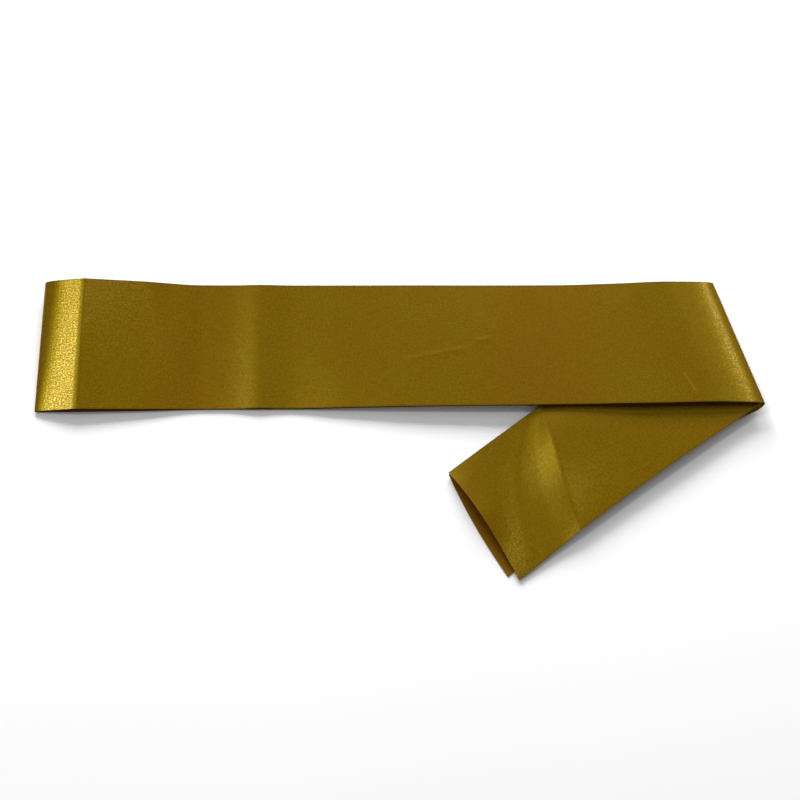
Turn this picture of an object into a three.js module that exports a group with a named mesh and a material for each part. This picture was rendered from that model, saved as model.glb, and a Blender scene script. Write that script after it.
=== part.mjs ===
// Plain satin sash laid on a table: folded end to end at the left, both free ends turned under on the slant
// Millimetres, X along the band, Y away from the viewer, Z up, the table at zero
import * as THREE from "three";

// The ribbon: its width, the wall it is given, and the clear gap between stretches that meet
const CLOTH = { width: 100, wall: 1, seamGap: 0.3 };

// The slanting fold: the angle from the band to the fold line, and where it crosses the middle of the band
const SLANT = { angle: THREE.MathUtils.degToRad(72), middle: 250.8 };

// The two cut ends at the tip of the tail, as plan corners on the near and the far edge
const UPPER_END = { near: [85.2, -182.8], far: [35.2, -101.2] };
const LOWER_END = { near: [77.2, -180], far: [35.3, -102] };

// Left fold at the near and the far edge: reach of the crease and the underside in from the fold, and heights
// The crown says how fully a turn rounds above its tip
const LEFT_FOLD = [
  {
    edge: -268, top: 30, high: 7, shoulder: 12, fall: 2.6, crown: 0.2,
    tip: 0, middle: 1.6, heel: 1.8, under: 4, low: 0.5,
  },
  {
    edge: -264.5, top: 30, high: 19, shoulder: 11, fall: 3, crown: 0.5,
    tip: 0, middle: 9.5, heel: 4, under: 9, low: 0.5,
  },
];

// Slanting fold, outer and inner layer, at the near and the far edge: reach behind the line, and heights
const OUTER_FOLD = [
  {
    top: 30, high: 13.3, shoulder: 10, fall: 0.3, crown: 0.5,
    tip: 0, middle: 10, heel: 3, under: 6, low: 6.7,
  },
  {
    top: 30, high: 6.6, shoulder: 5, fall: 0, crown: 0.6,
    tip: 0, middle: 3.2, heel: 3, under: 12, low: 0.5,
  },
];
const INNER_FOLD = [
  {
    top: 30, high: 11.6, shoulder: 7, fall: 0.7, crown: 0.7,
    tip: 2.8, middle: 9.5, heel: 2.4, under: 7, low: 8,
  },
  {
    top: 30, high: 5, shoulder: 7, fall: 0.3, crown: 0.65,
    tip: 2.4, middle: 3.2, heel: 2.4, under: 12, low: 1.8,
  },
];

// Runs of the band: height of each edge, share of the width that lifts with the near edge, sideways drift
// The row marked sharp is the crease, where the band breaks instead of bending
const UPPER_RUN = [
  { along: 0, near: 7, far: 19, reach: 1, drift: -2.2, sharp: true },
  { along: 0.1, near: 4.4, far: 11.6, reach: 1, drift: -1.3 },
  { along: 0.2, near: 1.8, far: 2.6, reach: 1, drift: -0.2 },
  { along: 0.33, near: 2.4, far: 1.8, reach: 1, drift: 0 },
  { along: 0.42, near: 4.8, far: 1.8, reach: 1, drift: 0 },
  { along: 0.6, near: 8.3, far: 1.8, reach: 1, drift: 0 },
  { along: 0.8, near: 10.4, far: 1.8, reach: 1, drift: 0.2 },
  { along: 0.9, near: 11.7, far: 3.3, reach: 1, drift: 0.6 },
  { along: 1, near: 13.3, far: 6.6, reach: 1, drift: 1 },
];
const LOWER_RUN = [
  { along: 0, near: 0.5, far: 0.5, reach: 1, drift: -2.2 },
  { along: 0.15, near: 0.5, far: 0.5, reach: 1, drift: -1.3 },
  { along: 0.25, near: 0.5, far: 0.5, reach: 0.45, drift: -0.2 },
  { along: 0.37, near: 0.5, far: 0.5, reach: 0.45, drift: 0 },
  { along: 0.46, near: 3.2, far: 0.5, reach: 0.45, drift: 0 },
  { along: 0.62, near: 6.8, far: 0.5, reach: 0.5, drift: 0 },
  { along: 0.81, near: 8.9, far: 0.5, reach: 1, drift: 0.2 },
  { along: 0.905, near: 10.2, far: 1.9, reach: 1, drift: 0.6 },
  { along: 1, near: 11.6, far: 5, reach: 1, drift: 1 },
];

// Tail: share along each edge, edge heights, pull of the near edge inward, arch across and far-edge curl
// The bow carries the middle of the width on towards the cut end, and the row marked sharp is the ridge
const UPPER_TAIL = [
  { along: 0, nearShare: 0, farShare: 0, near: 8, far: 1.8, inset: 0, arch: 0, bow: 0, curl: 0 },
  { along: 0.3, nearShare: 0.26, farShare: 0.28, near: 8.8, far: 2.6, inset: 2, arch: 0, bow: 0, curl: 0 },
  { along: 0.5, nearShare: 0.54, farShare: 0.49, near: 8.2, far: 4, inset: 2.7, arch: 2, bow: 0, curl: 0 },
  {
    along: 0.62, nearShare: 0.735, farShare: 0.64, near: 7.4, far: 5.6,
    inset: 2.2, arch: 3.2, bow: 0, curl: 0, sharp: true,
  },
  {
    along: 0.8, nearShare: 0.89, farShare: 0.7, near: 3.5, far: 5,
    inset: 0.9, arch: 0, bow: 19, curl: 0,
  },
  { along: 0.9, nearShare: 0.94, farShare: 0.84, near: 2.6, far: 5, inset: 0.3, arch: 1.4, bow: 7, curl: 0 },
  { along: 1, nearShare: 1, farShare: 1, near: 1.9, far: 3.8, inset: 0, arch: 5.4, bow: -5, curl: 0 },
];
const LOWER_TAIL = [
  { along: 0, nearShare: 0, farShare: 0, near: 6.7, far: 0.5, inset: 0, arch: 0, bow: 0, curl: 0 },
  { along: 0.15, nearShare: 0.15, farShare: 0.15, near: 3, far: 0.5, inset: 5, arch: 0, bow: 0, curl: 0 },
  { along: 0.35, nearShare: 0.35, farShare: 0.35, near: 0.5, far: 0.5, inset: 6, arch: 0, bow: 0, curl: 0 },
  { along: 0.8, nearShare: 0.8, farShare: 0.8, near: 0.5, far: 0.5, inset: 4, arch: 0, bow: 0, curl: 0 },
  { along: 1, nearShare: 1, farShare: 1, near: 0.5, far: 0.5, inset: 0, arch: 0, bow: 0, curl: 1.6 },
];

// How fully a turn rounds below its tip, and the chords that lengths are measured by
const TURN = { belly: 0.65, samples: 24 };

// Where across the width the tail's arch is highest, as a power of the share, and where its curl begins
const TAIL_SHAPE = { archSkew: 1.5, curlStart: 0.8 };

const NEAR_EDGE = -CLOTH.width / 2;
const FAR_EDGE = CLOTH.width / 2;
const SLIP = 1 / Math.tan(SLANT.angle);
const OUTWARD = new THREE.Vector3(Math.sin(SLANT.angle), Math.cos(SLANT.angle), 0);
const ALONG_FOLD = new THREE.Vector3(-Math.cos(SLANT.angle), Math.sin(SLANT.angle), 0);
const DIFFERENCE = 1e-4;

// Slope of a table column at a row, held so that the curve never overshoots its rows
function columnSlope(rows, key, name, row, fromRow) {
  const gain = (first, column) => rows[first + 1][column] - rows[first][column];
  const rise = (first) => gain(first, name) / gain(first, key);
  if (rows[row].sharp) {
    return rise(fromRow);
  }
  if (row === 0 || row === rows.length - 1) {
    return 0;
  }
  const before = rise(row - 1);
  const after = rise(row);
  return before * after > 0 ? (2 * before * after) / (before + after) : 0;
}

// Smooth value of one column between the rows of a table
function smoothColumn(rows, key, name, at) {
  let row = 0;
  while (row < rows.length - 2 && at > rows[row + 1][key]) {
    row += 1;
  }
  const span = rows[row + 1][key] - rows[row][key];
  const share = (at - rows[row][key]) / span;
  const rise = rows[row + 1][name] - rows[row][name];
  const ease = share * share * (3 - 2 * share);
  const startPull = share * (1 - share) * (1 - share) * span * columnSlope(rows, key, name, row, row);
  const endPull = share * share * (1 - share) * span * columnSlope(rows, key, name, row + 1, row);
  return rows[row][name] + rise * ease + startPull - endPull;
}

// All columns of a table at one place, smooth along a stretch
function smoothRow(rows, at) {
  const names = Object.keys(rows[0]).filter((name) => name !== "along" && name !== "sharp");
  return Object.fromEntries(names.map((name) => [name, smoothColumn(rows, "along", name, at)]));
}

// All columns of a two-row table, straight across the width
function straightRow(rows, across) {
  const [near, far] = rows;
  const mix = (name) => [name, THREE.MathUtils.lerp(near[name], far[name], across)];
  return Object.fromEntries(Object.keys(near).map(mix));
}

// Point on a rounded turn seen end on, as reach and height: over the top, round the tip and back under
function turnPoint(fold, share) {
  const { lerp } = THREE.MathUtils;
  const tip = new THREE.Vector2(fold.tip, fold.middle);
  if (share < 0.5) {
    const top = new THREE.Vector2(fold.top, fold.high);
    const shoulder = new THREE.Vector2(fold.tip + fold.shoulder, fold.high - fold.fall);
    const crown = new THREE.Vector2(fold.tip, lerp(fold.middle, fold.high, fold.crown));
    return new THREE.CubicBezierCurve(top, shoulder, crown, tip).getPoint(share * 2);
  }
  const belly = new THREE.Vector2(fold.tip, lerp(fold.middle, fold.low, TURN.belly));
  const heel = new THREE.Vector2(fold.tip + fold.heel, fold.low);
  const under = new THREE.Vector2(fold.under, fold.low);
  return new THREE.CubicBezierCurve(tip, belly, heel, under).getPoint(share * 2 - 1);
}

// Length of cloth on a turn from its top to a share of the way round
function turnLength(fold, share) {
  let length = 0;
  let last = turnPoint(fold, 0);
  for (let step = 1; step <= TURN.samples; step += 1) {
    const next = turnPoint(fold, (share * step) / TURN.samples);
    length += next.distanceTo(last);
    last = next;
  }
  return length;
}

// Side-to-side place of the band at a share of its width
function bandSide(across, drift) {
  return THREE.MathUtils.lerp(NEAR_EDGE, FAR_EDGE, across) + drift;
}

// Left fold, from the crease on top to the line where it meets the table
function leftFoldPoint(share, across) {
  const fold = straightRow(LEFT_FOLD, across);
  const turn = turnPoint(fold, share);
  return new THREE.Vector3(fold.edge + turn.x, bandSide(across, UPPER_RUN[0].drift), turn.y);
}

// Slanting fold: the cloth keeps its width, so it slips along the fold line as it goes round
function slantPoint(rows, share, across) {
  const fold = straightRow(rows, across);
  const turn = turnPoint(fold, share);
  const whole = THREE.MathUtils.lerp(turnLength(rows[0], 1), turnLength(rows[1], 1), across);
  const gone = (whole * turnLength(fold, share)) / turnLength(fold, 1);
  const side = bandSide(across, UPPER_RUN[UPPER_RUN.length - 1].drift);
  const begin = (side + fold.top * OUTWARD.y) / ALONG_FOLD.y;
  const point = new THREE.Vector3(SLANT.middle, 0, turn.y);
  point.addScaledVector(OUTWARD, -turn.x);
  return point.addScaledVector(ALONG_FOLD, begin - gone * SLIP);
}

// Run of the band, ruled from its near edge to its far edge between two end lines
function runPoint(rows, begin, end, along, across) {
  const row = smoothRow(rows, along);
  const lift = Math.max(0, 1 - across / row.reach) ** (1 / row.reach);
  const x = THREE.MathUtils.lerp(begin(across).x, end(across).x, along);
  return new THREE.Vector3(x, bandSide(across, row.drift), THREE.MathUtils.lerp(row.far, row.near, lift));
}

// Tail, ruled from its near edge to its far edge between the slanting fold and its cut end
function tailPoint(rows, begin, end, along, across) {
  const row = smoothRow(rows, along);
  const near = begin(0);
  const far = begin(1);
  const nearEnd = new THREE.Vector3(...end.near, 0);
  const farEnd = new THREE.Vector3(...end.far, 0);
  const edge = nearEnd.clone().sub(near).setZ(0).normalize();
  const inward = new THREE.Vector3(edge.y, -edge.x, 0);
  near.lerp(nearEnd, row.nearShare).addScaledVector(inward, row.inset);
  far.lerp(farEnd, row.farShare);
  const arch = row.arch * Math.sin(Math.PI * across ** TAIL_SHAPE.archSkew);
  const curl = Math.max(0, (across - TAIL_SHAPE.curlStart) / (1 - TAIL_SHAPE.curlStart)) ** 2;
  const point = near.lerp(far, across).addScaledVector(edge, row.bow * Math.sin(Math.PI * across));
  point.z = THREE.MathUtils.lerp(row.near, row.far, across) + arch + row.curl * curl;
  return point;
}

// The stretches of the ribbon from one cut end to the other, each a surface over its length and width
const outerFold = (share, across) => slantPoint(OUTER_FOLD, share, across);
const innerFold = (share, across) => slantPoint(INNER_FOLD, share, across);
const upperRun = (along, across) => runPoint(
  UPPER_RUN, (side) => leftFoldPoint(0, side), (side) => outerFold(0, side), along, across,
);
const lowerRun = (along, across) => runPoint(
  LOWER_RUN, (side) => leftFoldPoint(1, side), (side) => innerFold(0, side), along, across,
);
const upperTail = (along, across) => tailPoint(
  UPPER_TAIL, (side) => innerFold(1, side), UPPER_END, along, across,
);
const lowerTail = (along, across) => tailPoint(
  LOWER_TAIL, (side) => outerFold(1, side), LOWER_END, along, across,
);

// Each solid: the surface it lies on, its share of that surface, its grid, and whether it ends in a cut edge
const STRETCHES = [
  { name: "lower_tail_tip", surface: lowerTail, from: 0.4, to: 1, along: 10, across: 10, cutEnd: true },
  { name: "lower_tail_root", surface: lowerTail, from: 0, to: 0.4, along: 12, across: 8, cutEnd: false },
  { name: "outer_fold", surface: outerFold, from: 0, to: 1, along: 18, across: 8, cutEnd: false },
  { name: "upper_run_right", surface: upperRun, from: 0.72, to: 1, along: 14, across: 8, cutEnd: false },
  { name: "upper_run_rise", surface: upperRun, from: 0.46, to: 0.72, along: 10, across: 8, cutEnd: false },
  { name: "upper_run_middle", surface: upperRun, from: 0.2, to: 0.46, along: 12, across: 8, cutEnd: false },
  { name: "upper_run_left", surface: upperRun, from: 0, to: 0.2, along: 14, across: 8, cutEnd: false },
  { name: "left_fold", surface: leftFoldPoint, from: 0, to: 1, along: 22, across: 8, cutEnd: false },
  { name: "lower_run_left", surface: lowerRun, from: 0, to: 0.38, along: 10, across: 8, cutEnd: false },
  { name: "lower_run_middle", surface: lowerRun, from: 0.38, to: 0.58, along: 10, across: 12, cutEnd: false },
  { name: "lower_run_rise", surface: lowerRun, from: 0.58, to: 0.79, along: 10, across: 12, cutEnd: false },
  { name: "lower_run_right", surface: lowerRun, from: 0.79, to: 1, along: 12, across: 10, cutEnd: false },
  { name: "inner_fold", surface: innerFold, from: 0, to: 1, along: 18, across: 8, cutEnd: false },
  { name: "upper_tail_root", surface: upperTail, from: 0, to: 0.4, along: 12, across: 8, cutEnd: false },
  { name: "upper_tail_hump", surface: upperTail, from: 0.4, to: 0.62, along: 10, across: 10, cutEnd: false },
  { name: "upper_tail_flank", surface: upperTail, from: 0.62, to: 0.82, along: 8, across: 12, cutEnd: false },
  { name: "upper_tail_tip", surface: upperTail, from: 0.82, to: 1, along: 10, across: 14, cutEnd: true },
];

// Length of a stretch along the middle of the ribbon
function middleLength(surface) {
  const points = Array.from({ length: TURN.samples + 1 }, (_, step) => surface(step / TURN.samples, 0.5));
  return points.slice(1).reduce((length, point, step) => length + point.distanceTo(points[step]), 0);
}

// Direction square to a surface
function squareTo(surface, along, across) {
  const back = surface(Math.max(along - DIFFERENCE, 0), across);
  const ahead = surface(Math.min(along + DIFFERENCE, 1), across);
  const left = surface(along, Math.max(across - DIFFERENCE, 0));
  const right = surface(along, Math.min(across + DIFFERENCE, 1));
  return ahead.sub(back).cross(right.sub(left)).normalize();
}

// Closed wall of cloth on a surface, set back at each end that meets another stretch
function wall(stretch) {
  const { surface, along: stepsAlong, across: stepsAcross } = stretch;
  const setBack = CLOTH.seamGap / 2 / middleLength(surface);
  const first = stretch.from + setBack;
  const last = stretch.cutEnd ? stretch.to : stretch.to - setBack;
  const positions = [];
  for (const side of [0.5, -0.5]) {
    for (let i = 0; i <= stepsAlong; i += 1) {
      for (let j = 0; j <= stepsAcross; j += 1) {
        const along = THREE.MathUtils.lerp(first, last, i / stepsAlong);
        const across = j / stepsAcross;
        const point = surface(along, across);
        point.addScaledVector(squareTo(surface, along, across), side * CLOTH.wall);
        positions.push(point.x, point.y, point.z);
      }
    }
  }
  const layer = (stepsAlong + 1) * (stepsAcross + 1);
  const top = (i, j) => i * (stepsAcross + 1) + j;
  const under = (i, j) => layer + top(i, j);
  const index = [];
  const quad = (a, b, c, d) => index.push(a, b, c, a, c, d);
  for (let i = 0; i < stepsAlong; i += 1) {
    for (let j = 0; j < stepsAcross; j += 1) {
      quad(top(i, j), top(i + 1, j), top(i + 1, j + 1), top(i, j + 1));
      quad(under(i, j), under(i, j + 1), under(i + 1, j + 1), under(i + 1, j));
    }
    quad(under(i, 0), under(i + 1, 0), top(i + 1, 0), top(i, 0));
    quad(top(i, stepsAcross), top(i + 1, stepsAcross), under(i + 1, stepsAcross), under(i, stepsAcross));
  }
  for (let j = 0; j < stepsAcross; j += 1) {
    quad(top(0, j), top(0, j + 1), under(0, j + 1), under(0, j));
    quad(under(stepsAlong, j), under(stepsAlong, j + 1), top(stepsAlong, j + 1), top(stepsAlong, j));
  }
  const geometry = new THREE.BufferGeometry();
  geometry.setAttribute("position", new THREE.Float32BufferAttribute(positions, 3));
  geometry.setIndex(index);
  const mesh = new THREE.Mesh(geometry, satin);
  mesh.name = stretch.name;
  return mesh;
}

const satin = new THREE.MeshStandardMaterial({ color: 0x76580a, roughness: 0.38, metalness: 0 });

const sash = new THREE.Group();
sash.name = "satin_sash";
STRETCHES.forEach((stretch) => sash.add(wall(stretch)));

export default sash;
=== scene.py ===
"""A plain gold satin sash, folded end to end, with its free ends turned under on the slant."""
import logging
import math
from dataclasses import dataclass, field, fields
from enum import Enum
from typing import Any, Callable, Sequence

import bpy
import numpy as np
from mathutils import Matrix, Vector


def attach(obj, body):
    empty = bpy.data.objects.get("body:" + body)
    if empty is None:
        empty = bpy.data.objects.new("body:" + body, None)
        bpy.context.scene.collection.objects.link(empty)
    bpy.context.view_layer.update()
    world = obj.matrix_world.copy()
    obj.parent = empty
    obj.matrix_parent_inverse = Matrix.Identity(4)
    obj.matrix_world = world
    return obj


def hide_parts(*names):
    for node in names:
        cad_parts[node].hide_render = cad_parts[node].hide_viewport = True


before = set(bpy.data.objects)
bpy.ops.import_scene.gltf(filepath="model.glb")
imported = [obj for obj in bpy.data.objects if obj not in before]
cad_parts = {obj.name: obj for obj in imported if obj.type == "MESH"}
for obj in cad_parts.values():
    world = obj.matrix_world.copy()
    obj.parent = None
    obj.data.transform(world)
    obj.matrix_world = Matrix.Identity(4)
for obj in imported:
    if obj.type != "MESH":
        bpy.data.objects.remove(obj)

LOG = logging.getLogger("satin_sash")
MM = 0.001  # metres
BODY = "root"
CLOTH_MAP = "cloth"
RIBBON_WIDTH = 100.0  # millimetres
Colour = tuple[float, float, float, float]


class Side(Enum):
    """The two long edges of the ribbon."""

    NEAR = 0
    FAR = 1


@dataclass(frozen=True)
class TurnRow:
    """A rounded turn seen end on at one edge of the ribbon, in millimetres.

    Reaches are measured back from the line of the fold, heights up from the table. The crown is the
    share of the rise from the tip to the top over which the turn stays upright.
    """

    top: float
    high: float
    shoulder: float
    fall: float
    tip: float
    middle: float
    heel: float
    under: float
    low: float
    crown: float
    edge: float = 0.0


@dataclass(frozen=True)
class RunRow:
    """A section of the band: edge heights, the share of the width that lifts, and the sideways drift.

    A sharp section is a crease, where the band breaks instead of bending.
    """

    along: float
    near: float
    far: float
    reach: float
    drift: float
    sharp: bool = False


@dataclass(frozen=True)
class TailRow:
    """A section of the tail: shares along its edges, edge heights, pull inward, arch, bow and far curl.

    The arch lifts the middle of the width, and the bow carries it on towards the cut end.
    A sharp section is a ridge, where the tail breaks instead of bending.
    """

    along: float
    near_share: float
    far_share: float
    near: float
    far: float
    inset: float = 0.0
    arch: float = 0.0
    bow: float = 0.0
    curl: float = 0.0
    sharp: bool = False


@dataclass(frozen=True)
class Crease:
    """A soft line pressed into the cloth, from one plan point to another, in millimetres."""

    start: tuple[float, float]
    end: tuple[float, float]
    width: float
    height: float


@dataclass(frozen=True)
class Swell:
    """A slow rise across the band at one place along it, in millimetres."""

    place: float
    width: float
    height: float


@dataclass(frozen=True)
class Column:
    """One column of a table, read smoothly between its rows and never past them."""

    places: Sequence[float]
    values: Sequence[float]
    sharp: Sequence[bool]

    def rise(self, row: int) -> float:
        """Gives the straight slope from one row to the next."""
        return (self.values[row + 1] - self.values[row]) / (self.places[row + 1] - self.places[row])

    def slope(self, row: int, gap: int) -> float:
        """Gives the slope at a row: straight at a crease, flat at either end and where the column turns.

        Args:
            row: The row.
            gap: First row of the gap that is being read, whose straight slope a crease takes.

        Returns:
            Change in the value for each share along.
        """
        if self.sharp[row]:
            return self.rise(gap)
        if row in (0, len(self.places) - 1):
            return 0.0
        before, after = self.rise(row - 1), self.rise(row)
        return 2 * before * after / (before + after) if before * after > 0 else 0.0

    def at(self, place: float) -> float:
        """Reads the column at a share of the way along."""
        row = max(0, min(len(self.places) - 2, int(np.searchsorted(self.places, place, side="left")) - 1))
        span = self.places[row + 1] - self.places[row]
        share = (place - self.places[row]) / span
        ease = share * share * (3 - 2 * share)
        start_pull = share * (1 - share) ** 2 * span * self.slope(row, row)
        end_pull = share * share * (1 - share) * span * self.slope(row + 1, row)
        return self.values[row] + (self.values[row + 1] - self.values[row]) * ease + start_pull - end_pull


def smooth_row(rows: Sequence[RunRow] | Sequence[TailRow], place: float) -> dict[str, float]:
    """Reads every column of a table at one place.

    Args:
        rows: Table rows in order of their ``along`` column.
        place: Share of the way along the stretch.

    Returns:
        Column names and their values.
    """
    places = [row.along for row in rows]
    sharp = [row.sharp for row in rows]
    columns = [column.name for column in fields(rows[0]) if column.name not in ("along", "sharp")]
    return {name: Column(places, [getattr(row, name) for row in rows], sharp).at(place) for name in columns}


@dataclass
class Turn:
    """A rounded turn of the ribbon that changes evenly from its near edge to its far edge.

    The belly does below the tip what the crown does above it, and the chords measure the length round.
    """

    near: TurnRow
    far: TurnRow
    across: np.ndarray
    belly: float = 0.65
    chords: int = 24

    def __post_init__(self) -> None:
        """Spreads every size over the width."""
        self.size = {
            column.name: getattr(self.near, column.name) * (1 - self.across)
            + getattr(self.far, column.name) * self.across
            for column in fields(TurnRow)
        }
        self.whole = self.length(1.0)
        self.even = self.whole[0] * (1 - self.across) + self.whole[-1] * self.across

    def point(self, share: float) -> tuple[np.ndarray, np.ndarray]:
        """Finds the turn's place at a share of the way round.

        Args:
            share: 0 at the top, 0.5 at the tip and 1 underneath.

        Returns:
            Reach back from the fold and height, over the width.
        """
        size = self.size
        tip = (size["tip"], size["middle"])
        if share < 0.5:
            rounding = size["middle"] + (size["high"] - size["middle"]) * size["crown"]
            stops = (
                (size["top"], size["high"]),
                (size["tip"] + size["shoulder"], size["high"] - size["fall"]),
                (size["tip"], rounding),
                tip,
            )
            part = share * 2
        else:
            rounding = size["middle"] + (size["low"] - size["middle"]) * self.belly
            stops = (
                tip,
                (size["tip"], rounding),
                (size["tip"] + size["heel"], size["low"]),
                (size["under"], size["low"]),
            )
            part = share * 2 - 1
        rest = 1 - part
        weights = (rest**3, 3 * rest * rest * part, 3 * rest * part * part, part**3)
        reach = sum(weight * stop[0] for weight, stop in zip(weights, stops))
        height = sum(weight * stop[1] for weight, stop in zip(weights, stops))
        return reach, height

    def length(self, share: float) -> np.ndarray:
        """Measures the cloth from the top to a share of the way round, over the width."""
        total = np.zeros_like(self.across)
        last = self.point(0.0)
        for step in range(1, self.chords + 1):
            following = self.point(share * step / self.chords)
            total += np.hypot(following[0] - last[0], following[1] - last[1])
            last = following
        return total

    def gone(self, share: float) -> np.ndarray:
        """Gives the length gone round, evened so that the far side of the turn is a straight line."""
        return self.even * self.length(share) / self.whole


@dataclass(frozen=True)
class Stretch:
    """A stretch of the strip: its line at a share, the steps along it and whether it is walked backwards."""

    name: str
    line: Callable[[float], np.ndarray]
    steps: int
    backwards: bool


@dataclass
class Ribbon:
    """The one strip of satin and the way it is folded, in millimetres."""

    width: float = RIBBON_WIDTH
    thickness: float = 0.36
    steps_across: int = 54
    step_shown: float = 1.5
    step_hidden: float = 4.5
    turn_steps: int = 36
    slant_angle: float = math.radians(72)
    slant_middle: float = 250.8
    upper_end: tuple[tuple[float, float], ...] = ((85.2, -182.8), (35.2, -101.2))
    lower_end: tuple[tuple[float, float], ...] = ((77.2, -180.0), (35.3, -102.0))
    arch_skew: float = 1.5
    curl_start: float = 0.8
    left_rows: tuple[TurnRow, TurnRow] = (
        TurnRow(
            top=30, high=7, shoulder=12, fall=2.6, tip=0, middle=1.6, heel=1.8, under=4, low=0.5,
            crown=0.2, edge=-268,
        ),
        TurnRow(
            top=30, high=19, shoulder=11, fall=3, tip=0, middle=9.5, heel=4, under=9, low=0.5,
            crown=0.5, edge=-264.5,
        ),
    )
    outer_rows: tuple[TurnRow, TurnRow] = (
        TurnRow(
            top=30, high=13.3, shoulder=10, fall=0.3, tip=0, middle=10, heel=3, under=6, low=6.7,
            crown=0.5,
        ),
        TurnRow(
            top=30, high=6.6, shoulder=5, fall=0, tip=0, middle=3.2, heel=3, under=12, low=0.5,
            crown=0.6,
        ),
    )
    inner_rows: tuple[TurnRow, TurnRow] = (
        TurnRow(
            top=30, high=11.6, shoulder=7, fall=0.7, tip=2.8, middle=9.5, heel=2.4, under=7, low=8,
            crown=0.7,
        ),
        TurnRow(
            top=30, high=5, shoulder=7, fall=0.3, tip=2.4, middle=3.2, heel=2.4, under=12, low=1.8,
            crown=0.65,
        ),
    )
    upper_run_rows: tuple[RunRow, ...] = (
        RunRow(along=0, near=7, far=19, reach=1, drift=-2.2, sharp=True),
        RunRow(along=0.1, near=4.4, far=11.6, reach=1, drift=-1.3),
        RunRow(along=0.2, near=1.8, far=2.6, reach=1, drift=-0.2),
        RunRow(along=0.33, near=2.4, far=1.8, reach=1, drift=0),
        RunRow(along=0.42, near=4.8, far=1.8, reach=1, drift=0),
        RunRow(along=0.6, near=8.3, far=1.8, reach=1, drift=0),
        RunRow(along=0.8, near=10.4, far=1.8, reach=1, drift=0.2),
        RunRow(along=0.9, near=11.7, far=3.3, reach=1, drift=0.6),
        RunRow(along=1, near=13.3, far=6.6, reach=1, drift=1),
    )
    lower_run_rows: tuple[RunRow, ...] = (
        RunRow(along=0, near=0.5, far=0.5, reach=1, drift=-2.2),
        RunRow(along=0.15, near=0.5, far=0.5, reach=1, drift=-1.3),
        RunRow(along=0.25, near=0.5, far=0.5, reach=0.45, drift=-0.2),
        RunRow(along=0.37, near=0.5, far=0.5, reach=0.45, drift=0),
        RunRow(along=0.46, near=3.2, far=0.5, reach=0.45, drift=0),
        RunRow(along=0.62, near=6.8, far=0.5, reach=0.5, drift=0),
        RunRow(along=0.81, near=8.9, far=0.5, reach=1, drift=0.2),
        RunRow(along=0.905, near=10.2, far=1.9, reach=1, drift=0.6),
        RunRow(along=1, near=11.6, far=5, reach=1, drift=1),
    )
    upper_tail_rows: tuple[TailRow, ...] = (
        TailRow(along=0, near_share=0, far_share=0, near=8, far=1.8),
        TailRow(along=0.3, near_share=0.26, far_share=0.28, near=8.8, far=2.6, inset=2),
        TailRow(along=0.5, near_share=0.54, far_share=0.49, near=8.2, far=4, inset=2.7, arch=2),
        TailRow(
            along=0.62, near_share=0.735, far_share=0.64, near=7.4, far=5.6, inset=2.2, arch=3.2,
            sharp=True,
        ),
        TailRow(
            along=0.71, near_share=0.818, far_share=0.665, near=4.9, far=5.2, inset=1.5, arch=1, bow=9.5,
        ),
        TailRow(along=0.8, near_share=0.89, far_share=0.7, near=3.5, far=5, inset=0.9, arch=0.3, bow=15),
        TailRow(along=0.9, near_share=0.94, far_share=0.84, near=2.6, far=5, inset=0.3, arch=1.6, bow=7),
        TailRow(along=1, near_share=1, far_share=1, near=1.9, far=3.8, arch=5.4, bow=-2),
    )
    lower_tail_rows: tuple[TailRow, ...] = (
        TailRow(along=0, near_share=0, far_share=0, near=6.7, far=0.5),
        TailRow(along=0.15, near_share=0.15, far_share=0.15, near=3, far=0.5, inset=5),
        TailRow(along=0.35, near_share=0.35, far_share=0.35, near=0.5, far=0.5, inset=6),
        TailRow(along=0.8, near_share=0.8, far_share=0.8, near=0.5, far=0.5, inset=4),
        TailRow(along=1, near_share=1, far_share=1, near=0.5, far=0.5, bow=2, curl=1.6),
    )

    def __post_init__(self) -> None:
        """Sets up the shares across the width, the fold's directions and the three turns."""
        self.across = np.linspace(0, 1, self.steps_across + 1)
        self.outward = np.array((math.sin(self.slant_angle), math.cos(self.slant_angle), 0))
        self.along_fold = np.array((-math.cos(self.slant_angle), math.sin(self.slant_angle), 0))
        self.slip = 1 / math.tan(self.slant_angle)
        self.left_turn = Turn(*self.left_rows, self.across)
        self.outer_turn = Turn(*self.outer_rows, self.across)
        self.inner_turn = Turn(*self.inner_rows, self.across)

    def band_side(self, drift: float) -> np.ndarray:
        """Places the width of the band from side to side."""
        return (self.across - 0.5) * self.width + drift

    def left_fold(self, share: float) -> np.ndarray:
        """Gives one line across the left fold, from its crease to the table."""
        reach, height = self.left_turn.point(share)
        side = self.band_side(self.upper_run_rows[0].drift)
        return np.stack((self.left_turn.size["edge"] + reach, side, height), axis=1)

    def slant_fold(self, turn: Turn, share: float) -> np.ndarray:
        """Gives one line across a layer of the slanting fold, slipping along it to keep the width.

        Args:
            turn: The layer's turn.
            share: Share of the way round it.

        Returns:
            Points from the near edge to the far edge.
        """
        reach, height = turn.point(share)
        side = self.band_side(self.upper_run_rows[-1].drift)
        begin = (side + turn.size["top"] * self.outward[1]) / self.along_fold[1]
        travel = begin - turn.gone(share) * self.slip
        line = -reach[:, None] * self.outward + travel[:, None] * self.along_fold
        line[:, 0] += self.slant_middle
        line[:, 2] = height
        return line

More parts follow.
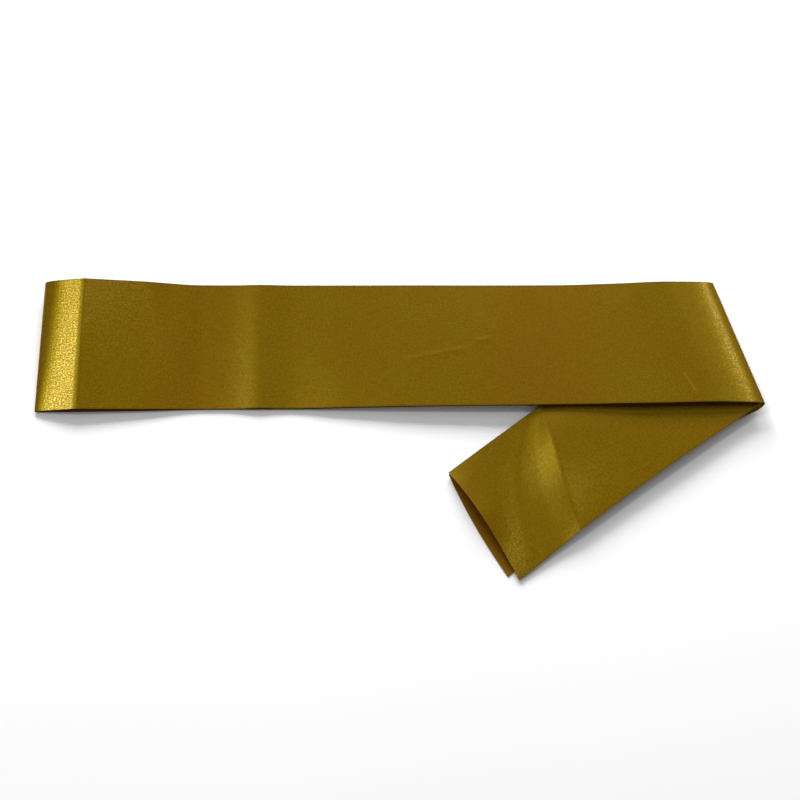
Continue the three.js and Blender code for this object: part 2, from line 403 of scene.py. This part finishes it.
    def run(self, rows: Sequence[RunRow], begin: np.ndarray, end: np.ndarray, along: float) -> np.ndarray:
        """Gives one line across a run of the band.

        Args:
            rows: The run's table.
            begin: Line where the run leaves the left fold.
            end: Line where it goes into the slanting fold.
            along: Share of the way from one to the other.

        Returns:
            Points from the near edge to the far edge.
        """
        row = smooth_row(rows, along)
        lift = np.maximum(0, 1 - self.across / row["reach"]) ** (1 / row["reach"])
        height = row["far"] + (row["near"] - row["far"]) * lift
        x = begin[:, 0] + (end[:, 0] - begin[:, 0]) * along
        return np.stack((x, self.band_side(row["drift"]), height), axis=1)

    def tail(
        self, rows: Sequence[TailRow], begin: np.ndarray, end: Sequence[tuple[float, float]], along: float
    ) -> np.ndarray:
        """Gives one line across a layer of the tail.

        Args:
            rows: The layer's table.
            begin: Line where the layer leaves the slanting fold.
            end: Plan corners of its cut end, near and far.
            along: Share of the way from one to the other.

        Returns:
            Points from the near edge to the far edge.
        """
        row = smooth_row(rows, along)
        near, far = begin[0, :2], begin[-1, :2]
        near_end, far_end = np.array(end[Side.NEAR.value]), np.array(end[Side.FAR.value])
        edge = near_end - near
        inward = np.array((edge[1], -edge[0])) / np.hypot(*edge)
        near = near + edge * row["near_share"] + inward * row["inset"]
        far = far + (far_end - far) * row["far_share"]
        bow = row["bow"] * np.sin(math.pi * self.across)
        plan = near + (far - near) * self.across[:, None] + edge / np.hypot(*edge) * bow[:, None]
        arch = row["arch"] * np.sin(math.pi * self.across**self.arch_skew)
        curl = row["curl"] * np.maximum(0, (self.across - self.curl_start) / (1 - self.curl_start)) ** 2
        height = row["near"] + (row["far"] - row["near"]) * self.across + arch + curl
        return np.column_stack((plan, height))

    def stretches(self) -> list[Stretch]:
        """Lists the stretches from the upper cut end to the lower one."""
        crease, table = self.left_fold(0), self.left_fold(1)
        outer_top, outer_under = self.slant_fold(self.outer_turn, 0), self.slant_fold(self.outer_turn, 1)
        inner_top, inner_under = self.slant_fold(self.inner_turn, 0), self.slant_fold(self.inner_turn, 1)
        run_length = outer_top[0, 0] - crease[0, 0]
        tail_length = np.hypot(*(inner_under[0, :2] - self.upper_end[Side.NEAR.value]))

        def upper_tail(share: float) -> np.ndarray:
            """Gives one line across the top of the tail."""
            return self.tail(self.upper_tail_rows, inner_under, self.upper_end, share)

        def lower_tail(share: float) -> np.ndarray:
            """Gives one line across the underside of the tail."""
            return self.tail(self.lower_tail_rows, outer_under, self.lower_end, share)

        def lower_run(share: float) -> np.ndarray:
            """Gives one line across the underside of the band."""
            return self.run(self.lower_run_rows, table, inner_top, share)

        def upper_run(share: float) -> np.ndarray:
            """Gives one line across the top of the band."""
            return self.run(self.upper_run_rows, crease, outer_top, share)

        def inner_fold(share: float) -> np.ndarray:
            """Gives one line across the inside layer of the slanting fold."""
            return self.slant_fold(self.inner_turn, share)

        def outer_fold(share: float) -> np.ndarray:
            """Gives one line across the outside layer of the slanting fold."""
            return self.slant_fold(self.outer_turn, share)

        return [
            Stretch("upper_tail", upper_tail, round(tail_length / self.step_shown), backwards=True),
            Stretch("inner_fold", inner_fold, self.turn_steps, backwards=True),
            Stretch("lower_run", lower_run, round(run_length / self.step_hidden), backwards=True),
            Stretch("left_fold", self.left_fold, self.turn_steps, backwards=True),
            Stretch("upper_run", upper_run, round(run_length / self.step_shown), backwards=False),
            Stretch("outer_fold", outer_fold, self.turn_steps, backwards=False),
            Stretch("lower_tail", lower_tail, round(tail_length / self.step_hidden), backwards=False),
        ]

    def strip(self) -> tuple[np.ndarray, list[str]]:
        """Walks the whole ribbon from one cut end to the other.

        Returns:
            Points as lines along by places across, in millimetres, and the name of each line's stretch.
        """
        lines: list[np.ndarray] = []
        names: list[str] = []
        for stretch in self.stretches():
            shares = np.linspace(0, 1, stretch.steps + 1)
            if stretch.backwards:
                shares = shares[::-1]
            for share in shares if not lines else shares[1:]:
                lines.append(stretch.line(float(share)))
                names.append(stretch.name)
        return np.array(lines), names


class Field:
    """A value in a material, on which sums are written as plain expressions."""

    def __init__(self, paint: "Paint", socket: bpy.types.NodeSocket) -> None:
        """Wraps a socket of one material."""
        self.paint = paint
        self.socket = socket

    def _sum(self, operation: str, first: Any, second: Any) -> "Field":
        """Adds one Math node."""
        return self.paint.node("ShaderNodeMath", {"operation": operation}, {0: first, 1: second})

    def __add__(self, other: Any) -> "Field":
        """Adds a value."""
        return self._sum("ADD", self, other)

    def __radd__(self, other: Any) -> "Field":
        """Adds to a number."""
        return self._sum("ADD", other, self)

    def __sub__(self, other: Any) -> "Field":
        """Takes a value away."""
        return self._sum("SUBTRACT", self, other)

    def __rsub__(self, other: Any) -> "Field":
        """Takes this value from a number."""
        return self._sum("SUBTRACT", other, self)

    def __mul__(self, other: Any) -> "Field":
        """Multiplies by a value."""
        return self._sum("MULTIPLY", self, other)

    def __rmul__(self, other: Any) -> "Field":
        """Multiplies a number."""
        return self._sum("MULTIPLY", other, self)

    def least(self, other: Any) -> "Field":
        """Takes the smaller of two values."""
        return self._sum("MINIMUM", self, other)

    def band(self, low: float, high: float) -> "Field":
        """Eases from 0 at one value to 1 at another."""
        settings = {"interpolation_type": "SMOOTHSTEP"}
        inputs = {"Value": self, "From Min": low, "From Max": high}
        return self.paint.node("ShaderNodeMapRange", settings, inputs)


class Paint:
    """Builds the nodes of one material."""

    def __init__(self, name: str) -> None:
        """Starts an empty material with a shader and an output."""
        self.material = bpy.data.materials.new(name)
        self.material.use_nodes = True
        self.tree = self.material.node_tree
        self.tree.nodes.clear()
        self.shader = self.tree.nodes.new("ShaderNodeBsdfPrincipled")
        output = self.tree.nodes.new("ShaderNodeOutputMaterial")
        self.tree.links.new(self.shader.outputs["BSDF"], output.inputs["Surface"])

    def node(self, kind: str, settings: dict[str, Any], inputs: dict[Any, Any], output: Any = 0) -> Field:
        """Adds a node.

        Args:
            kind: Blender's name for the node.
            settings: Its own options, set before its sockets.
            inputs: Socket names or numbers, with the values or fields that go in.
            output: Socket that the result comes out of.

        Returns:
            The result.
        """
        made = self.tree.nodes.new(kind)
        for name, value in settings.items():
            setattr(made, name, value)
        for key, value in inputs.items():
            self.feed(made.inputs[key], value)
        return Field(self, made.outputs[output])

    def feed(self, socket: bpy.types.NodeSocket, value: Any) -> None:
        """Links a field to a socket, or sets the socket to a plain value."""
        if isinstance(value, Field):
            self.tree.links.new(value.socket, socket)
        else:
            socket.default_value = value

    def cloth_map(self) -> Field:
        """Reads the place on the flat cloth, in metres along and across."""
        return self.node("ShaderNodeUVMap", {"uv_map": CLOTH_MAP}, {})

    def speckle(self, place: Field, scale: tuple[float, float, float]) -> Field:
        """Adds a noise that is drawn out by its scales along and across the cloth."""
        drawn = self.node("ShaderNodeMapping", {}, {"Vector": place, "Scale": scale})
        return self.cloud(drawn, 1.0)

    def cloud(self, place: Field, scale: float, detail: float = 2.0) -> Field:
        """Adds an even noise."""
        return self.node("ShaderNodeTexNoise", {}, {"Vector": place, "Scale": scale, "Detail": detail})

    def bump(self, relief: Field, depth: float, strength: float) -> Field:
        """Turns a relief into a normal."""
        inputs = {"Strength": strength, "Distance": depth, "Height": relief}
        return self.node("ShaderNodeBump", {}, inputs)

    def blend(self, share: Field, first: Any, second: Any) -> Field:
        """Mixes two colours by a share."""
        made = self.tree.nodes.new("ShaderNodeMix")
        made.data_type = "RGBA"
        colours = [socket for socket in made.inputs if socket.type == "RGBA"]
        self.feed(made.inputs["Factor"], share)
        self.feed(colours[0], first)
        self.feed(colours[1], second)
        return Field(self, next(socket for socket in made.outputs if socket.type == "RGBA"))

    def finish(self, **sockets: Any) -> bpy.types.Material:
        """Sets the shader's sockets, written with underscores for spaces, and hands back the material."""
        for name, value in sockets.items():
            self.feed(self.shader.inputs[name.replace("_", " ")], value)
        return self.material


@dataclass(frozen=True)
class PaintedShadePatch:
    """A stretch of the face painted darker and warmer as shade, in metres of cloth from the left crease."""

    begin: float
    full: float
    fade: float
    end: float


@dataclass(frozen=True)
class SatinFace:
    """The glossy face: long floats of gold thread with a fine grain and two stretches of painted shade, in
    metres of cloth.

    Scales are in lumps to the metre, along and across. Ranges are where a noise starts to count and
    where it counts in full.
    """

    deep: Colour = (0.086, 0.04, 0.0002, 1)
    bright: Colour = (0.192, 0.0975, 0.0005, 1)
    # The warmer colours serve both the random warm cloud and the painted shade stretches.
    warm_and_shaded_deep: Colour = (0.085, 0.0335, 0.0002, 1)
    warm_and_shaded_bright: Colour = (0.191, 0.083, 0.0004, 1)
    # Colour of the long edges: the selvedge, darkened further with painted edge shade.
    edge: Colour = (0.06, 0.026, 0.0003, 1)
    gloss: Colour = (1.0, 0.84, 0.02, 1)
    grain_scale: tuple[float, float, float] = (740, 1050, 1)
    float_scale: tuple[float, float, float] = (90, 1400, 1)
    cloud_scale: float = 16.0
    grain_share: float = 0.75
    tone_range: tuple[float, float] = (0.39, 0.61)
    glint_range: tuple[float, float] = (0.3, 0.7)
    cloud_range: tuple[float, float] = (0.4, 0.62)
    cloud_warmth: float = 0.3
    painted_shade_strength: float = 0.7
    # Painted shade: stretches of the band darkened and warmed where its slow undulations shade it.
    painted_shade_patches: tuple[PaintedShadePatch, ...] = (
        PaintedShadePatch(begin=0.02, full=0.06, fade=0.085, end=0.125),
        PaintedShadePatch(begin=0.28, full=0.33, fade=0.365, end=0.4),
    )
    selvedge_and_shade_range: tuple[float, float] = (0.0004, 0.0012)
    selvedge_and_shade_share: float = 0.6
    grain_relief: float = 0.6
    unevenness: float = 3.4
    relief_depth: float = 0.0001
    relief_strength: float = 0.7
    metallic: float = 0.2
    specular: float = 1.0
    dull: float = 0.31
    sharp: float = 0.19
    sparkle: float = 0.17
    sparkle_dull: float = 0.15

    def make(self) -> bpy.types.Material:
        """Builds the material.

        Returns:
            Satin with grain, floats and darker long edges: the selvedge with painted edge shade.
        """
        paint = Paint("satin_face")
        cloth = paint.cloth_map()
        grain = paint.speckle(cloth, self.grain_scale)
        floats = paint.speckle(cloth, self.float_scale)
        cloud = paint.cloud(cloth, self.cloud_scale)
        along = paint.node("ShaderNodeSeparateXYZ", {}, {"Vector": cloth}, "X")
        across = paint.node("ShaderNodeSeparateXYZ", {}, {"Vector": cloth}, "Y")
        weave = grain * self.grain_share + floats * (1 - self.grain_share)
        warmth_and_painted_shade = cloud.band(*self.cloud_range) * self.cloud_warmth
        # Painted shade: each stretch darkens and warms the colour along the band.
        for shade_patch in self.painted_shade_patches:
            shown = along.band(shade_patch.begin, shade_patch.full) * (1 - along.band(shade_patch.fade, shade_patch.end))
            warmth_and_painted_shade = warmth_and_painted_shade + shown * self.painted_shade_strength
        thread = paint.blend(warmth_and_painted_shade, self.deep, self.warm_and_shaded_deep)
        shine = paint.blend(warmth_and_painted_shade, self.bright, self.warm_and_shaded_bright)
        colour = paint.blend(weave.band(*self.tone_range), thread, shine)
        # Selvedge and painted edge shade: darker within about a millimetre of each long edge.
        selvedge_and_shade = 1 - across.least(RIBBON_WIDTH * MM - across).band(*self.selvedge_and_shade_range)
        glint = weave.band(*self.glint_range)
        relief = grain * self.grain_relief + floats * (1 - self.grain_relief) + cloud * self.unevenness
        return paint.finish(
            Base_Color=paint.blend(selvedge_and_shade * self.selvedge_and_shade_share, colour, self.edge),
            Metallic=self.metallic,
            Roughness=self.dull - glint * (self.dull - self.sharp),
            Specular_IOR_Level=self.specular,
            Specular_Tint=self.gloss,
            Coat_Weight=glint * self.sparkle,
            Coat_Roughness=self.sparkle_dull,
            Normal=paint.bump(relief, self.relief_depth, self.relief_strength),
        )


@dataclass(frozen=True)
class SatinBack:
    """The dull back, with the short cross threads showing, in metres of cloth."""

    deep: Colour = (0.13, 0.05, 0.0006, 1)
    bright: Colour = (0.2, 0.084, 0.001, 1)
    gloss: Colour = (1.0, 0.7, 0.1, 1)
    grain_scale: tuple[float, float, float] = (900, 500, 1)
    rib_scale: float = 260.0
    rib_waver: float = 1.5
    grain_relief: float = 0.5
    relief_depth: float = 0.00005
    relief_strength: float = 0.5
    roughness: float = 0.7
    specular: float = 0.3

    def make(self) -> bpy.types.Material:
        """Builds the material.

        Returns:
            Dull cloth with fine cross ribs.
        """
        paint = Paint("satin_back")
        cloth = paint.cloth_map()
        grain = paint.speckle(cloth, self.grain_scale)
        wave = {"Vector": cloth, "Scale": self.rib_scale, "Distortion": self.rib_waver}
        ribs = paint.node("ShaderNodeTexWave", {"bands_direction": "X"}, wave)
        relief = grain * self.grain_relief + ribs * (1 - self.grain_relief)
        return paint.finish(
            Base_Color=paint.blend(grain, self.deep, self.bright),
            Roughness=self.roughness,
            Specular_IOR_Level=self.specular,
            Specular_Tint=self.gloss,
            Normal=paint.bump(relief, self.relief_depth, self.relief_strength),
        )


@dataclass(frozen=True)
class TableTop:
    """The pale plain surface the sash lies on."""

    colour: Colour = (0.95, 0.95, 0.95, 1)
    other: Colour = (0.93, 0.93, 0.93, 1)
    cloud_scale: float = 3.0
    cloud_detail: float = 1.0
    roughness: float = 0.8

    def make(self) -> bpy.types.Material:
        """Builds a matt white with a faint unevenness."""
        paint = Paint("table_top")
        place = paint.node("ShaderNodeTexCoord", {}, {}, "Object")
        cloud = paint.cloud(place, self.cloud_scale, self.cloud_detail)
        return paint.finish(Base_Color=paint.blend(cloud, self.colour, self.other), Roughness=self.roughness)


@dataclass
class Sash:
    """The cloth itself: one thin shell on the folded ribbon, with its creases."""

    ribbon: Ribbon = field(default_factory=Ribbon)
    face: SatinFace = SatinFace()
    back: SatinBack = SatinBack()
    nodes: tuple[str, ...] = (
        "lower_tail_tip", "lower_tail_root", "outer_fold",
        "upper_run_right", "upper_run_rise", "upper_run_middle", "upper_run_left", "left_fold",
        "lower_run_left", "lower_run_middle", "lower_run_rise", "lower_run_right", "inner_fold",
        "upper_tail_root", "upper_tail_hump", "upper_tail_flank", "upper_tail_tip",
    )
    rim_angle: float = math.radians(55)
    band_creases: tuple[Crease, ...] = (
        Crease(start=(7, -12), end=(47, -3.5), width=1.4, height=0.26),
        Crease(start=(58, 3.5), end=(65, 4.5), width=1.4, height=0.26),
        Crease(start=(208, -27.5), end=(216, -42.5), width=1.4, height=0.28),
        Crease(start=(-155.5, 13), end=(-142.5, 13.5), width=1.5, height=0.2),
    )
    tail_creases: tuple[Crease, ...] = (
        Crease(start=(79, -89), end=(77, -96), width=1.5, height=0.2),
        Crease(start=(95, -157), end=(99.5, -161.5), width=1.5, height=0.2),
    )
    swells: tuple[Swell, ...] = (
        Swell(place=-104, width=14, height=1.15),
        Swell(place=10, width=26, height=0.3),
        Swell(place=165, width=30, height=0.5),
    )
    cut_length: float = field(default=0.0, init=False)

    def pressed(self, points: np.ndarray, names: list[str]) -> np.ndarray:
        """Presses the creases and swells into the layers that show.

        Args:
            points: The ribbon's lines, in millimetres.
            names: The stretch of each line.

        Returns:
            The same points, moved up or down.
        """
        shown = points.copy()
        for stretch, creases in (("upper_run", self.band_creases), ("upper_tail", self.tail_creases)):
            lines = np.array([name == stretch for name in names])
            plan = points[lines][:, :, :2]
            for crease in creases:
                start, end = np.array(crease.start), np.array(crease.end)
                run = end - start
                share = np.clip(((plan - start) @ run) / (run @ run), 0, 1)
                gap = np.linalg.norm(plan - start - share[..., None] * run, axis=2)
                shown[lines, :, 2] += crease.height * np.exp(-((gap / crease.width) ** 2))
        band = np.array([name == "upper_run" for name in names])
        for swell in self.swells:
            gap = (points[band][:, :, 0] - swell.place) / swell.width
            shown[band, :, 2] += swell.height * np.exp(-(gap**2))
        return shown

    def surface(self, points: np.ndarray) -> bpy.types.Mesh:
        """Makes a smooth skin of four-sided faces through the ribbon's points."""
        rows, columns = points.shape[:2]
        index = np.arange(rows * columns).reshape(rows, columns)
        corners = (index[:-1, :-1], index[1:, :-1], index[1:, 1:], index[:-1, 1:])
        quads = np.stack(corners, axis=2).reshape(-1, len(corners))
        mesh = bpy.data.meshes.new("sash")
        mesh.from_pydata((points.reshape(-1, 3) * MM).tolist(), [], quads.tolist())
        mesh.materials.append(self.face.make())
        mesh.materials.append(self.back.make())
        mesh.polygons.foreach_set("use_smooth", np.ones(len(mesh.polygons), dtype=bool))
        return mesh

    def lay_map(self, mesh: bpy.types.Mesh, gone: np.ndarray) -> None:
        """Writes each corner's place on the flat cloth.

        Args:
            mesh: The skin.
            gone: Length of cloth from the left crease to each point, in millimetres.
        """
        along = gone.ravel() * MM
        across = np.tile(self.ribbon.across * self.ribbon.width, len(gone)) * MM
        corners = np.array([loop.vertex_index for loop in mesh.loops])
        layer = mesh.uv_layers.new(name=CLOTH_MAP)
        layer.data.foreach_set("uv", np.stack((along[corners], across[corners]), axis=1).ravel())
        mesh.update()

    def shell(self) -> bpy.types.Object:
        """Builds the shell: the ribbon's surface with its real thickness, face outward and back inward.

        Returns:
            The sash, as one plain mesh.
        """
        points, names = self.ribbon.strip()
        points = self.pressed(points, names)
        columns = points.shape[1]
        steps = np.linalg.norm(np.diff(points, axis=0), axis=2)
        gone = np.vstack((np.zeros(columns), np.cumsum(steps, axis=0)))
        self.cut_length = float(gone[-1, columns // 2]) * MM
        mesh = self.surface(points)
        crease = names.index("upper_run") - 1
        self.lay_map(mesh, gone - gone[crease])
        made = bpy.data.objects.new("sash_cloth", mesh)
        bpy.context.collection.objects.link(made)
        wall = made.modifiers.new("wall", "SOLIDIFY")
        wall.thickness = self.ribbon.thickness * MM
        wall.offset = 0
        wall.material_offset = 1
        wall.material_offset_rim = 0
        return self.baked(made)

    def baked(self, made: bpy.types.Object) -> bpy.types.Object:
        """Turns a piece with modifiers into a plain mesh, with its cut rim kept sharp."""
        graph = bpy.context.evaluated_depsgraph_get()
        solid = made.evaluated_get(graph)
        mesh = bpy.data.meshes.new_from_object(solid, preserve_all_data_layers=True, depsgraph=graph)
        made.modifiers.clear()
        mesh.set_sharp_from_angle(angle=self.rim_angle)
        made.data = mesh
        return made

    def build(self) -> list[bpy.types.Object]:
        """Makes the sash, hangs it on the body and hides the parts that it takes the place of.

        Returns:
            The pieces.
        """
        cloth = self.shell()
        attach(cloth, BODY)
        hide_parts(*self.nodes)
        return [cloth]


@dataclass(frozen=True)
class Softbox:
    """A square soft light that faces the sash, by its direction from the target, in metres and watts."""

    name: str
    toward: tuple[float, float, float]
    distance: float
    size: float
    power: float
    colour: tuple[float, float, float] = (1.0, 1.0, 1.0)

    def build(self, target: Vector) -> None:
        """Hangs the light and turns it to the target."""
        lamp = bpy.data.lights.new(self.name, "AREA")
        lamp.shape = "SQUARE"
        lamp.size = self.size
        lamp.energy = self.power
        lamp.color = self.colour
        holder = bpy.data.objects.new(self.name, lamp)
        bpy.context.collection.objects.link(holder)
        direction = Vector(self.toward).normalized()
        holder.location = target + direction * self.distance
        holder.rotation_euler = direction.to_track_quat("Z", "Y").to_euler()


@dataclass
class Studio:
    """The table, the lights and the camera, in metres, with the lens in millimetres."""

    target: Vector = field(default_factory=lambda: Vector((0, -42.3 * MM, 0)))
    elevation: float = math.radians(67)
    distance: float = 1.9126
    lens: float = 117.0
    sensor: float = 36.0
    sight: float = 50.0
    table_side: float = 8.0
    view: str = "Standard"
    sky: Colour = (1.0, 1.0, 1.0, 1)
    sky_strength: float = 0.28
    lights: tuple[Softbox, ...] = (
        Softbox("left_box", toward=(-0.465, 0.179, 0.867), distance=4.1, size=0.4, power=16.5),
        Softbox("tail_box", toward=(-0.285, 0.267, 0.921), distance=4.0, size=1.1, power=9.4),
        Softbox("fill_box", toward=(0.2, 0.16, 0.94), distance=4.0, size=1.0, power=5),
        Softbox("right_box", toward=(0.337, 0.573, 0.747), distance=4.1, size=0.35, power=5.6),
        Softbox("back_left_box", toward=(-0.25, 0.86, 0.4), distance=2.5, size=1.0, power=71),
        Softbox("back_right_box", toward=(0.25, 0.86, 0.4), distance=2.5, size=1.0, power=43),
    )

    def build(self) -> None:
        """Makes the whole set."""
        self.lay_table()
        self.hang_lights()
        self.place_camera()

    def lay_table(self) -> None:
        """Lays the pale surface under the sash, at height zero."""
        half = self.table_side / 2
        mesh = bpy.data.meshes.new("table")
        corners = [(-half, -half, 0), (half, -half, 0), (half, half, 0), (-half, half, 0)]
        mesh.from_pydata(corners, [], [(0, 1, 2, 3)])
        mesh.materials.append(TableTop().make())
        table = bpy.data.objects.new("table", mesh)
        bpy.context.collection.objects.link(table)

    def hang_lights(self) -> None:
        """Hangs the soft lights under an even sky."""
        world = bpy.data.worlds.new("studio")
        world.use_nodes = True
        sky = world.node_tree.nodes["Background"]
        sky.inputs["Color"].default_value = self.sky
        sky.inputs["Strength"].default_value = self.sky_strength
        bpy.context.scene.world = world
        bpy.context.scene.view_settings.view_transform = self.view
        for light in self.lights:
            light.build(self.target)

    def place_camera(self) -> None:
        """Points the camera from the photograph's angle."""
        lens = bpy.data.cameras.new("camera")
        lens.lens = self.lens
        lens.sensor_width = self.sensor
        lens.clip_end = self.sight
        holder = bpy.data.objects.new("camera", lens)
        bpy.context.collection.objects.link(holder)
        back = Vector((0, -math.cos(self.elevation), math.sin(self.elevation)))
        holder.location = self.target + back * self.distance
        holder.rotation_euler = (math.pi / 2 - self.elevation, 0, 0)
        bpy.context.scene.camera = holder


def main() -> None:
    """Builds the set and the sash."""
    logging.basicConfig(level=logging.INFO, format="%(message)s")
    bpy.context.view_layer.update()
    Studio().build()
    for piece in Sash().build():
        LOG.info("%s: %d faces", piece.name, len(piece.data.polygons))


if __name__ == "__main__":
    main()
